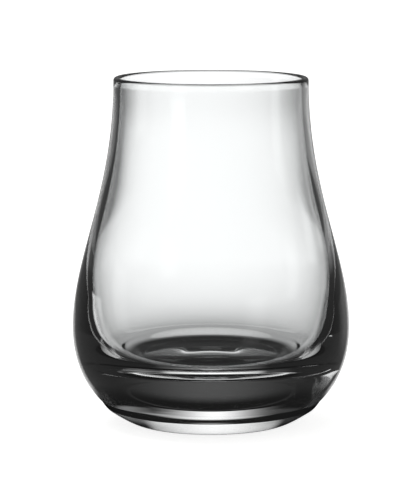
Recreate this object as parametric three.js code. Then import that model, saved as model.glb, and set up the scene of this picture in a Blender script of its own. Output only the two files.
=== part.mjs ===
// Whisky tumbler: a bowl with a narrow mouth and a heavy bottom, and a pressed foot fused under it.
// Millimetres, +Z up. The origin is the middle of the standing face.
import * as THREE from "three";

// Bowl, outside
const height = 105; // standing face to the top of the lip
const rimRadius = 29.4; // outside of the lip
const rimRun = 33.5; // how strongly the neck keeps upright below the lip
const bellyRadius = 42; // outside, where the bowl is widest
const bellyHeight = 29.4; // height of that widest place
const shoulderRun = 20.9; // how strongly the belly keeps upright above it
const heelRun = 11.3; // and below it
const heelSlope = 42; // degrees from level, where the bowl comes down to the foot
const heelReach = 5.2; // how strongly that slope is kept

// Bowl, inside
const rimWall = 2; // glass at the lip, which is melted to a half round
const bellyWall = 5.4; // glass between the widest outside and the widest inside
const hollowRise = 10.2; // the hollow is widest this far above the belly's widest place
const hollowShoulderRun = 18.5; // how strongly the hollow keeps upright above its widest place
const hollowHeelRun = 22.5; // and below it
const bottomThickness = 18.8; // standing face to the floor of the hollow
const floorRadius = 17; // the floor is level as far as this
const floorReach = 10; // and nearly level for this much more

// Foot
const footThickness = 7.3; // standing face to the joint with the bowl
const jointRadius = 33.6; // outside, where the bowl and the foot meet in a crease
const footEdgeRadius = 31.9; // lower edge of the foot's side
const footEdgeHeight = 4.9;
const footEdgeEase = 1.2; // rounding of that edge
const underSlope = 33; // degrees from level, where the underside leaves that edge
const underReach = 4; // how strongly that slope is kept
const standingRadius = 22.2; // outer edge of the level ring that the glass stands on
const standingReach = 1.8; // how softly the underside comes down to that ring
const puntRadius = 16; // hollow in the middle of the underside
const puntDepth = 1;

const facets = 64; // round the axis
const longSteps = 10; // points along a long curve
const shortSteps = 6; // and along a short one

const glass = { color: 0xe9eeee, roughness: 0.02, metalness: 0 };

const at = (radius, z) => new THREE.Vector2(radius, z);

// A point at a distance from another, in a direction given in degrees from level.
function towards(from, degrees, distance) {
  const angle = THREE.MathUtils.degToRad(degrees);
  return at(from.x + distance * Math.cos(angle), from.y + distance * Math.sin(angle));
}

function sweep(from, leave, arrive, to, steps) {
  return new THREE.CubicBezierCurve(from, leave, arrive, to).getPoints(steps);
}

// Joins curves end to end and drops the points that two of them share.
function profileOf(...curves) {
  const points = curves.flat();
  return points.filter((point, i) => i === 0 || point.distanceTo(points[i - 1]) > 1e-6);
}

// Turns a half profile about the upright axis.
function turned(name, profile) {
  const geometry = new THREE.LatheGeometry(profile, facets).rotateX(Math.PI / 2);
  const mesh = new THREE.Mesh(geometry, new THREE.MeshStandardMaterial(glass));
  mesh.name = name;
  return mesh;
}

// The bowl and the foot meet on a level face, which ends in the crease outside.
const crease = at(jointRadius, footThickness);
const jointCentre = at(0, footThickness);

function makeBowl() {
  const lipRadius = rimWall / 2;
  const lipCentre = at(rimRadius - lipRadius, height - lipRadius);
  const outerRim = at(rimRadius, lipCentre.y);
  const innerRim = at(rimRadius - rimWall, lipCentre.y);
  const belly = at(bellyRadius, bellyHeight);
  const hollow = at(bellyRadius - bellyWall, bellyHeight + hollowRise);
  const floorEdge = at(floorRadius, bottomThickness);

  const lowerBelly = sweep(
    crease,
    towards(crease, heelSlope, heelReach),
    towards(belly, -90, heelRun),
    belly,
    longSteps,
  );
  const neck = sweep(
    belly,
    towards(belly, 90, shoulderRun),
    towards(outerRim, -90, rimRun),
    outerRim,
    longSteps,
  );
  const lip = new THREE.EllipseCurve(lipCentre.x, lipCentre.y, lipRadius, lipRadius, 0, Math.PI);
  const hollowNeck = sweep(
    innerRim,
    towards(innerRim, -90, rimRun),
    towards(hollow, 90, hollowShoulderRun),
    hollow,
    longSteps,
  );
  const hollowHeel = sweep(
    hollow,
    towards(hollow, -90, hollowHeelRun),
    towards(floorEdge, 0, floorReach),
    floorEdge,
    longSteps,
  );

  return turned(
    "bowl",
    profileOf(
      [jointCentre],
      lowerBelly,
      neck,
      lip.getPoints(shortSteps),
      hollowNeck,
      hollowHeel,
      [at(0, bottomThickness)],
    ),
  );
}

function makeFoot() {
  const standingEdge = at(standingRadius, 0);
  const footEdge = at(footEdgeRadius, footEdgeHeight);
  const sideEnd = footEdge.clone().lerp(crease, footEdgeEase / footEdge.distanceTo(crease));
  const underEnd = towards(footEdge, underSlope, -footEdgeEase);
  const punt = sweep(
    at(0, puntDepth),
    at(puntRadius / 2, puntDepth),
    at(puntRadius / 2, 0),
    at(puntRadius, 0),
    shortSteps,
  );
  const underside = sweep(
    standingEdge,
    towards(standingEdge, 0, standingReach),
    towards(underEnd, underSlope, -underReach),
    underEnd,
    shortSteps,
  );
  const lowerEdge = new THREE.QuadraticBezierCurve(underEnd, footEdge, sideEnd).getPoints(shortSteps / 2);

  return turned("foot", profileOf(punt, underside, lowerEdge, [crease, jointCentre]));
}

const tumbler = new THREE.Group();
tumbler.add(makeBowl(), makeFoot());

export default tumbler;
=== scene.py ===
from math import cos, radians, sin, tau

import bmesh
import bpy
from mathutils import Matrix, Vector
from mathutils.geometry import interpolate_bezier


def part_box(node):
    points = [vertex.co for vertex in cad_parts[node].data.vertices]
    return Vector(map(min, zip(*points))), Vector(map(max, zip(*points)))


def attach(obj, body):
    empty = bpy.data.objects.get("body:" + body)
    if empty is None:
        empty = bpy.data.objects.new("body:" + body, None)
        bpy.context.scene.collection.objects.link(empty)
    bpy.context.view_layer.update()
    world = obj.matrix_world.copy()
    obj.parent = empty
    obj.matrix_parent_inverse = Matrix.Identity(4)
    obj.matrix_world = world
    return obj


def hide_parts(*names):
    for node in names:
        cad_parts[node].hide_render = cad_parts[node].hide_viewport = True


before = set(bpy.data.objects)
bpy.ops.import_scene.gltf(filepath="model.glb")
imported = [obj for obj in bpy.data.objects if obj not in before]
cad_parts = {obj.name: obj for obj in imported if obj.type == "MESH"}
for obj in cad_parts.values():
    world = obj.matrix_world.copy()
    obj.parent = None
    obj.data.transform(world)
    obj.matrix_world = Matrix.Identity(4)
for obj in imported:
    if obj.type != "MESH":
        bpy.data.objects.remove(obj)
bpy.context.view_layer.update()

# Whisky tumbler: a blown bowl with a heavy bottom, fused to a low pressed foot.
mm = 0.001  # the frame is in metres
touching = 0.001 * mm  # closer than this, two places are the same
print("frame loaded:", ", ".join(sorted(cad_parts)))


def hexColour(code):  # sRGB hex to linear RGBA
    channels = [int(code[i:i + 2], 16) / 255 for i in (1, 3, 5)]
    linear = [c / 12.92 if c <= 0.04045 else ((c + 0.055) / 1.055) ** 2.4 for c in channels]
    return (*linear, 1.0)


def addNode(tree, kind, settings=None, inputs=None):
    node = tree.nodes.new(kind)
    for name, value in (settings or {}).items():
        setattr(node, name, value)
    for socket, value in (inputs or {}).items():
        if isinstance(value, bpy.types.Node):
            value = value.outputs[0]
        if isinstance(value, bpy.types.NodeSocket):
            tree.links.new(value, node.inputs[socket])
        else:
            node.inputs[socket].default_value = value
    return node


def newMaterial(name):
    material = bpy.data.materials.new(name)
    material.use_nodes = True
    material.node_tree.nodes.clear()
    return material, material.node_tree


# Camera, at the photograph's angle and in its 420 x 490 frame
cameraSetup = {
    "place": (0, -0.950, 0.1779),
    "aim": (0, 0, 0.0525),
    "lens": 232.7,               # mm on a 36 mm sensor
    "shift": (-0.0020, 0.0104),  # the glass stands a little low and right in the frame
}


def makeCamera(setup):
    camera = bpy.data.objects.new("camera", bpy.data.cameras.new("camera"))
    camera.location = setup["place"]
    line = Vector(setup["aim"]) - Vector(setup["place"])
    camera.rotation_euler = line.to_track_quat("-Z", "Y").to_euler()
    camera.data.lens = setup["lens"]
    camera.data.shift_x, camera.data.shift_y = setup["shift"]
    bpy.context.collection.objects.link(camera)
    bpy.context.scene.camera = camera


makeCamera(cameraSetup)
bpy.context.scene.view_settings.view_transform = "Standard"
print("camera placed")


# Half profiles are drawn in the XZ plane as cubic runs, then spun about the upright axis.
def at(radius, z):
    return Vector((radius, 0, z))


def towards(point, degrees, distance):  # a point that far off, in degrees from level
    return point + at(cos(radians(degrees)), sin(radians(degrees))) * distance


def straight(start, end, steps):
    return (start, start.lerp(end, 1 / 3), start.lerp(end, 2 / 3), end, steps)


def corner(start, tip, end, steps):
    return (start, start.lerp(tip, 2 / 3), end.lerp(tip, 2 / 3), end, steps)


def quarterRound(start, tip, end, steps):
    handle = 0.5523  # how far a cubic's handles go towards the tip, to make a quarter of a circle
    return (start, start.lerp(tip, handle), end.lerp(tip, handle), end, steps)


def spinPiece(name, runs, turns, materials, jointHeight):
    bm = bmesh.new()
    wire = []
    for start, leave, arrive, end, steps in runs:
        points = interpolate_bezier(start, leave, arrive, end, steps + 1)
        for point in points[1 if wire else 0:]:
            wire.append(bm.verts.new(point))
    edges = [bm.edges.new(pair) for pair in zip(wire, wire[1:])]
    bmesh.ops.spin(bm, geom=wire + edges, cent=(0, 0, 0), axis=(0, 0, 1), angle=tau, steps=turns,
                   use_merge=True)
    bmesh.ops.remove_doubles(bm, verts=bm.verts, dist=touching)  # closes the poles
    bmesh.ops.recalc_face_normals(bm, faces=bm.faces)
    for face in bm.faces:
        face.smooth = True
        if all(abs(vert.co.z - jointHeight) < touching for vert in face.verts):
            face.material_index = 1
    for edge in bm.edges:
        if len({face.material_index for face in edge.link_faces}) == 2:
            edge.smooth = False
    mesh = bpy.data.meshes.new(name)
    bm.to_mesh(mesh)
    bm.free()
    piece = bpy.data.objects.new(name, mesh)
    for material in materials:
        mesh.materials.append(material)
    bpy.context.collection.objects.link(piece)
    return piece


# Soda-lime glass, blown and fire-polished: clear, with a skin that is wavy by hundredths of a millimetre,
# so that the edges of what shows through it waver a little.
blownGlass = {
    "colour": "#fdfefe",
    "ior": 1.52,
    "waveSize": 28 * mm,
    "waveDepth": 0.02 * mm,
}

# The same glass, pressed: the mould leaves a finer, shallower ripple.
pressedGlass = {
    "colour": "#fdfefe",
    "ior": 1.52,
    "waveSize": 9 * mm,
    "waveDepth": 0.006 * mm,
}


def makeGlass(name, look):
    material, tree = newMaterial(name)
    coords = addNode(tree, "ShaderNodeTexCoord")
    wave = addNode(tree, "ShaderNodeTexNoise", None, {
        "Vector": coords.outputs["Object"], "Scale": 1 / look["waveSize"], "Detail": 1.0, "Roughness": 0.4})
    bump = addNode(tree, "ShaderNodeBump", None, {
        "Height": wave.outputs[0], "Distance": look["waveDepth"], "Strength": 1.0})
    glass = addNode(tree, "ShaderNodeBsdfPrincipled", None, {
        "Base Color": hexColour(look["colour"]), "IOR": look["ior"], "Roughness": 0.0,
        "Transmission Weight": 1.0, "Normal": bump.outputs[0]})
    addNode(tree, "ShaderNodeOutputMaterial", None, {"Surface": glass.outputs[0]})
    return material


# Where the two are melted together there is no surface left, so light goes straight on.
def makeFusedJoint():
    material, tree = newMaterial("fused_glass_joint")
    clear = addNode(tree, "ShaderNodeBsdfTransparent")
    addNode(tree, "ShaderNodeOutputMaterial", None, {"Surface": clear.outputs[0]})
    return material


fusedJoint = makeFusedJoint()
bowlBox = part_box("bowl")
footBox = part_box("foot")

joint = {
    "radius": 33.6 * mm,  # the crease outside, where the bowl and the foot meet
    "height": footBox[1][2],
}

bowl = {
    "height": bowlBox[1][2],
    "rimRadius": 29.4 * mm,
    "rimRun": 33.5 * mm,         # how strongly the neck keeps upright below the lip
    "rimWall": 2.0 * mm,
    "bellyRadius": bowlBox[1][0],
    "bellyHeight": 29.4 * mm,
    "shoulderRun": 20.9 * mm,    # how strongly the belly keeps upright above its widest place
    "heelRun": 11.3 * mm,        # and below it
    "heelSlope": 42,             # degrees from level, down at the crease
    "heelReach": 5.2 * mm,
    "bellyWall": 5.4 * mm,
    "hollowRise": 10.2 * mm,     # the hollow is widest this far above the belly's widest place
    "hollowShoulderRun": 18.5 * mm,
    "hollowHeelRun": 22.5 * mm,
    "bottomThickness": 18.8 * mm,
    "floorRadius": 17.0 * mm,    # the floor is level as far as this
    "floorReach": 10.0 * mm,     # and nearly level for this much more
    "turns": 224,                # steps round the axis, and along each run of the profile
    "steps": {"joint": 12, "heel": 44, "neck": 48, "lip": 8, "hollow": 52, "hollowHeel": 44, "floor": 8},
}


def makeBowl(size, joint):
    lip = size["rimWall"] / 2
    rimHeight = size["height"] - lip
    outerRim = at(size["rimRadius"], rimHeight)
    innerRim = at(size["rimRadius"] - size["rimWall"], rimHeight)
    lipTop = at(size["rimRadius"] - lip, size["height"])
    belly = at(size["bellyRadius"], size["bellyHeight"])
    hollow = at(belly.x - size["bellyWall"], belly.z + size["hollowRise"])
    floorEdge = at(size["floorRadius"], size["bottomThickness"])
    crease = at(joint["radius"], joint["height"])
    steps = size["steps"]
    runs = [
        straight(at(0, joint["height"]), crease, steps["joint"]),
        (crease, towards(crease, size["heelSlope"], size["heelReach"]),
         towards(belly, -90, size["heelRun"]), belly, steps["heel"]),
        (belly, towards(belly, 90, size["shoulderRun"]),
         towards(outerRim, -90, size["rimRun"]), outerRim, steps["neck"]),
        quarterRound(outerRim, at(outerRim.x, lipTop.z), lipTop, steps["lip"]),
        quarterRound(lipTop, at(innerRim.x, lipTop.z), innerRim, steps["lip"]),
        (innerRim, towards(innerRim, -90, size["rimRun"]),
         towards(hollow, 90, size["hollowShoulderRun"]), hollow, steps["hollow"]),
        (hollow, towards(hollow, -90, size["hollowHeelRun"]),
         towards(floorEdge, 0, size["floorReach"]), floorEdge, steps["hollowHeel"]),
        straight(floorEdge, at(0, size["bottomThickness"]), steps["floor"]),
    ]
    material = makeGlass("soda_lime_glass_blown", blownGlass)
    piece = spinPiece("tumbler_bowl", runs, size["turns"], [material, fusedJoint], joint["height"])
    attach(piece, "root")
    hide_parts("bowl")
    print("bowl spun:", len(piece.data.polygons), "faces")


makeBowl(bowl, joint)

foot = {
    "edgeRadius": 31.9 * mm,      # lower edge of the side
    "edgeHeight": 4.9 * mm,
    "edgeEase": 1.2 * mm,         # rounding of that edge
    "underSlope": 33,             # degrees from level, where the underside leaves it
    "underReach": 4.0 * mm,
    "standingRadius": 22.2 * mm,  # outer edge of the level ring that the glass stands on
    "standingReach": 1.8 * mm,
    "puntRadius": 16.0 * mm,      # hollow in the middle of the underside
    "puntDepth": 1.0 * mm,
    "turns": 224,
    "steps": {"punt": 30, "standing": 6, "under": 28, "edge": 10, "side": 4, "joint": 12},
}


def makeFoot(size, joint):
    crease = at(joint["radius"], joint["height"])
    edge = at(size["edgeRadius"], size["edgeHeight"])
    sideEnd = edge.lerp(crease, size["edgeEase"] / (crease - edge).length)
    underEnd = towards(edge, size["underSlope"], -size["edgeEase"])
    standingEdge = at(size["standingRadius"], 0)
    puntEdge = at(size["puntRadius"], 0)
    puntTop = at(0, size["puntDepth"])
    halfPunt = at(size["puntRadius"] / 2, 0)
    steps = size["steps"]
    runs = [
        (puntTop, puntTop + halfPunt, halfPunt, puntEdge, steps["punt"]),
        straight(puntEdge, standingEdge, steps["standing"]),
        (standingEdge, towards(standingEdge, 0, size["standingReach"]),
         towards(underEnd, size["underSlope"], -size["underReach"]), underEnd, steps["under"]),
        corner(underEnd, edge, sideEnd, steps["edge"]),
        straight(sideEnd, crease, steps["side"]),
        straight(crease, at(0, joint["height"]), steps["joint"]),
    ]
    material = makeGlass("soda_lime_glass_pressed", pressedGlass)
    piece = spinPiece("tumbler_foot", runs, size["turns"], [material, fusedJoint], joint["height"])
    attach(piece, "root")
    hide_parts("foot")
    print("foot spun:", len(piece.data.polygons), "faces")


makeFoot(foot, joint)

# Studio as the glass sees it: lit cards in a dark room, in degrees. Headings turn from +Y towards +X.
# A card falls off to each side like a bell curve, as wide as its spread at the two heights of widen,
# and ends at its reach.
studio = {
    "backCards": [
        {"turn": -1.5, "low": -54, "high": -5.4, "fade": (8, 1.6), "light": 1.2,   # sweep under the glass
         "spread": (10, 24), "reach": (20, 27)},
        {"turn": -1, "low": -7.0, "high": 1.0, "fade": (1.6, 1.5), "light": 1.13,  # up to the horizon
         "spread": (7.6, 7.6), "reach": (20, 27)},
        {"turn": 17, "low": -14, "high": -3.8, "fade": (8, 1.2), "light": 0.42,    # right-hand wall
         "spread": (5, 5), "reach": (8, 11)},
        {"turn": 33, "low": -17, "high": -1.5, "fade": (11, 1.5), "light": 0.22,   # its edge, and the foot
         "spread": (8, 8), "reach": (11, 15)},
        {"turn": -26, "low": -16, "high": -2.5, "fade": (4, 1.5), "light": 0.045,  # right end of the foot
         "spread": (9, 9), "reach": (13, 18)},
        {"turn": 0, "low": 20.5, "high": 28, "fade": (1.5, 1.5), "light": 1.1,     # strip in the foot
         "spread": (11, 11), "reach": (24, 30)},
        {"turn": 0, "low": 6, "high": 18, "fade": (4, 4), "light": 0.07,           # haze above the horizon
         "spread": (14, 14), "reach": (30, 40)},
    ],
    "sideCards": [  # shown only through the glass, so that the belly does not mirror them
        {"turn": -87, "low": -34, "high": 1.0, "fade": (6, 1.5), "light": 1.0,    # for the view from 90
         "spread": (9, 10), "reach": (6.5, 10.5)},
        {"turn": -50, "low": -60, "high": -21, "fade": (8, 1.5), "light": 1.5,    # from 45
         "spread": (13, 15), "reach": (6, 11)},
        {"turn": 137, "low": -50, "high": -9.5, "fade": (8, 2.5), "light": 1.05,  # from 225
         "spread": (8, 9), "reach": (8.5, 12)},
    ],
    "widen": (-3, -22),   # degrees of rise
    "dim": (-14, 32),     # below the first, the light falls to 37% in this many degrees
    "dark": 0.011,        # the room through the glass
    "under": 0.85,        # and the table, where the glass is looked into from above
    "steep": (-60, -54),
    "veil": 0.15,         # the room mirrored in the outside
    "ambient": 0.35,      # what the table gets from it
}


def addCard(tree, card, level, rise, widen, glow):
    heading = (sin(radians(card["turn"])), cos(radians(card["turn"])), 0)
    facing = addNode(tree, "ShaderNodeVectorMath", {"operation": "DOT_PRODUCT"},
                     {0: level, 1: heading}).outputs["Value"]
    spread = addNode(tree, "ShaderNodeMapRange", None, {
        "Value": rise, "From Min": widen[0], "From Max": widen[1],
        "To Min": radians(card["spread"][0]), "To Max": radians(card["spread"][1])})
    squared = addNode(tree, "ShaderNodeMath", {"operation": "MULTIPLY"}, {0: spread, 1: spread})
    aside = addNode(tree, "ShaderNodeMath", {"operation": "SUBTRACT"}, {0: facing, 1: 1.0})
    power = addNode(tree, "ShaderNodeMath", {"operation": "DIVIDE"}, {0: aside, 1: squared})
    bell = addNode(tree, "ShaderNodeMath", {"operation": "EXPONENT"}, {0: power})
    ends = addNode(tree, "ShaderNodeMapRange", {"interpolation_type": "SMOOTHSTEP"}, {
        "Value": facing,
        "From Min": cos(radians(card["reach"][1])), "From Max": cos(radians(card["reach"][0]))})
    top = addNode(tree, "ShaderNodeMapRange", {"interpolation_type": "SMOOTHSTEP"}, {
        "Value": rise, "From Min": card["high"] - card["fade"][1], "From Max": card["high"],
        "To Min": card["light"], "To Max": 0.0})
    bottom = addNode(tree, "ShaderNodeMapRange", {"interpolation_type": "SMOOTHSTEP"}, {
        "Value": rise, "From Min": card["low"], "From Max": card["low"] + card["fade"][0]})
    across = addNode(tree, "ShaderNodeMath", {"operation": "MULTIPLY"}, {0: bell, 1: ends})
    upright = addNode(tree, "ShaderNodeMath", {"operation": "MULTIPLY"}, {0: top, 1: bottom})
    return addNode(tree, "ShaderNodeMath", {"operation": "MULTIPLY_ADD"}, {0: across, 1: upright, 2: glow})


def makeWorld(setup):
    world = bpy.data.worlds.new("studio")
    bpy.context.scene.world = world
    world.use_nodes = True
    tree = world.node_tree
    tree.nodes.clear()
    direction = addNode(tree, "ShaderNodeTexCoord").outputs["Generated"]
    flat = addNode(tree, "ShaderNodeVectorMath", {"operation": "MULTIPLY"}, {0: direction, 1: (1, 1, 0)})
    level = addNode(tree, "ShaderNodeVectorMath", {"operation": "NORMALIZE"}, {0: flat})
    up = addNode(tree, "ShaderNodeSeparateXYZ", None, {0: direction}).outputs["Z"]
    angle = addNode(tree, "ShaderNodeMath", {"operation": "ARCSINE"}, {0: up})
    rise = addNode(tree, "ShaderNodeMath", {"operation": "DEGREES"}, {0: angle})
    behind = beside = 0.0
    for card in setup["backCards"]:
        behind = addCard(tree, card, level, rise, setup["widen"], behind)
    for card in setup["sideCards"]:
        beside = addCard(tree, card, level, rise, setup["widen"], beside)
    path = addNode(tree, "ShaderNodeLightPath").outputs
    through = path["Is Transmission Ray"]
    cards = addNode(tree, "ShaderNodeMath", {"operation": "MULTIPLY_ADD"},
                    {0: beside, 1: through, 2: behind})
    start, run = setup["dim"]
    below = addNode(tree, "ShaderNodeMath", {"operation": "MULTIPLY_ADD"},
                    {0: rise, 1: 1 / run, 2: -start / run})
    drop = addNode(tree, "ShaderNodeMath", {"operation": "MINIMUM"}, {0: below, 1: 0.0})
    dimmed = addNode(tree, "ShaderNodeMath", {"operation": "EXPONENT"}, {0: drop})
    under = addNode(tree, "ShaderNodeMapRange", {"interpolation_type": "SMOOTHSTEP"}, {
        "Value": rise, "From Min": setup["steep"][0], "From Max": setup["steep"][1],
        "To Min": setup["under"], "To Max": setup["dark"]})
    room = addNode(tree, "ShaderNodeMix", {"data_type": "FLOAT"},
                   {0: through, 2: setup["veil"], 3: under})
    lit = addNode(tree, "ShaderNodeMath", {"operation": "MULTIPLY_ADD"}, {0: cards, 1: dimmed, 2: room})
    seen = addNode(tree, "ShaderNodeMath", {"operation": "MAXIMUM"},
                   {0: path["Is Glossy Ray"], 1: through})
    around = addNode(tree, "ShaderNodeMix", {"data_type": "FLOAT"},
                     {0: seen, 2: setup["ambient"], 3: lit})
    shown = addNode(tree, "ShaderNodeMix", {"data_type": "FLOAT"},
                    {0: path["Is Camera Ray"], 2: around, 3: 1.0})
    background = addNode(tree, "ShaderNodeBackground", None,
                         {"Color": hexColour("#ffffff"), "Strength": shown})
    addNode(tree, "ShaderNodeOutputWorld", None, {"Surface": background})


makeWorld(studio)

table = {
    "radius": 6.0,
    "drop": 0.05 * mm,              # just clear of the standing ring
    "colour": "#f2f2f0",
    "white": 0.82,                  # so that the open table reads white to the camera
    "clear": (40 * mm, 54 * mm),    # out here the glass sees the cards through the table
    "paintedPool": (27 * mm, 33 * mm),     # further in it sees a painted pool of light on the table, down to a painted shadow under the glass
    "paintedPoolLight": (0.05, 1.0),
    "paintedDepth": (0, 15 * mm),          # the painted light is brighter behind the glass, with painted shade in front of it
    "paintedDepthLight": (0.09, 0.45),
    "paintedUnderLight": 0.3,                  # painted light at least this strong, where a ray goes straight down through the bottom
    "skins": 2,                     # and so through this many skins of glass
}


# Matt white board: the camera sees it white, with the shadow of the glass. Through and in the glass it
# shows a painted pool of light, with a painted shadow under the glass.
def makeTable(size):
    bm = bmesh.new()
    bmesh.ops.create_circle(bm, cap_ends=True, segments=64, radius=size["radius"])
    bmesh.ops.translate(bm, verts=bm.verts, vec=(0, 0, -size["drop"]))
    mesh = bpy.data.meshes.new("table")
    bm.to_mesh(mesh)
    bm.free()
    piece = bpy.data.objects.new("table", mesh)
    bpy.context.collection.objects.link(piece)
    material, tree = newMaterial("matt_white_board_with_painted_light")
    place = addNode(tree, "ShaderNodeTexCoord").outputs["Object"]
    path = addNode(tree, "ShaderNodeLightPath").outputs
    far = addNode(tree, "ShaderNodeVectorMath", {"operation": "LENGTH"}, {0: place}).outputs["Value"]
    back = addNode(tree, "ShaderNodeSeparateXYZ", None, {0: place}).outputs["Y"]
    clear = addNode(tree, "ShaderNodeMapRange", {"interpolation_type": "SMOOTHSTEP"}, {
        "Value": far, "From Min": size["clear"][0], "From Max": size["clear"][1]})
    # painted shadow under the glass, rising to a painted pool of light further out, brighter behind than in
    # front
    paintedShadowRamp = addNode(tree, "ShaderNodeMapRange", {"interpolation_type": "SMOOTHSTEP"}, {
        "Value": far, "From Min": size["paintedPool"][0], "From Max": size["paintedPool"][1],
        "To Min": size["paintedPoolLight"][0], "To Max": size["paintedPoolLight"][1]})
    paintedDepthRamp = addNode(tree, "ShaderNodeMapRange", {"interpolation_type": "SMOOTHSTEP"}, {
        "Value": back, "From Min": size["paintedDepth"][0], "From Max": size["paintedDepth"][1],
        "To Min": size["paintedDepthLight"][0], "To Max": size["paintedDepthLight"][1]})
    paintedLightOnTable = addNode(tree, "ShaderNodeMath", {"operation": "MULTIPLY"}, {0: paintedShadowRamp, 1: paintedDepthRamp})
    # painted light under the bottom, for rays that come straight down through the glass
    downThrough = addNode(tree, "ShaderNodeMath", {"operation": "LESS_THAN"},
                          {0: path["Ray Depth"], 1: size["skins"] + 0.5})
    paintedUnderLight = addNode(tree, "ShaderNodeMath", {"operation": "MULTIPLY"},
                     {0: downThrough, 1: size["paintedUnderLight"]})
    paintedLightLevel = addNode(tree, "ShaderNodeMath", {"operation": "MAXIMUM"}, {0: paintedLightOnTable, 1: paintedUnderLight})
    closed = addNode(tree, "ShaderNodeMath", {"operation": "SUBTRACT"},
                     {0: path["Is Transmission Ray"], 1: clear})
    kept = addNode(tree, "ShaderNodeMath", {"operation": "MAXIMUM"}, {0: closed, 1: 0.0})
    # the painted light shows only to rays through the glass, and only where the table is not clear
    paintedStrength = addNode(tree, "ShaderNodeMath", {"operation": "MULTIPLY"}, {0: paintedLightLevel, 1: kept})
    cards = addNode(tree, "ShaderNodeBsdfTransparent", None, {"Color": clear})
    paintedPool = addNode(tree, "ShaderNodeEmission", None, {"Strength": paintedStrength})
    under = addNode(tree, "ShaderNodeAddShader", None, {0: cards, 1: paintedPool})
    shade = addNode(tree, "ShaderNodeBsdfDiffuse", None, {"Color": hexColour(size["colour"])})
    white = addNode(tree, "ShaderNodeEmission", None, {"Strength": size["white"]})
    bare = addNode(tree, "ShaderNodeAddShader", None, {0: shade, 1: white})
    seen = addNode(tree, "ShaderNodeMath", {"operation": "MAXIMUM"},
                   {0: path["Is Glossy Ray"], 1: path["Is Transmission Ray"]})
    look = addNode(tree, "ShaderNodeMixShader", None, {0: seen, 1: bare, 2: under})
    addNode(tree, "ShaderNodeOutputMaterial", None, {"Surface": look})
    mesh.materials.append(material)


makeTable(table)

overhead = {
    "place": (-0.35, 0.25, 1.5),
    "aim": (0, 0, 0.05),
    "size": 1.2,
    "watts": 9.0,
}


# Soft box above: it lays the shadow on the table, and stays out of the glass.
def makeLamp(setup):
    lamp = bpy.data.objects.new("overhead", bpy.data.lights.new("overhead", "AREA"))
    lamp.location = setup["place"]
    lamp.rotation_euler = (Vector(setup["aim"]) - lamp.location).to_track_quat("-Z", "Y").to_euler()
    lamp.data.size = setup["size"]
    lamp.data.energy = setup["watts"]
    lamp.visible_transmission = False
    lamp.visible_glossy = False
    bpy.context.collection.objects.link(lamp)


makeLamp(overhead)
print("studio set:", len(studio["backCards"]), "cards behind,", len(studio["sideCards"]), "beside")
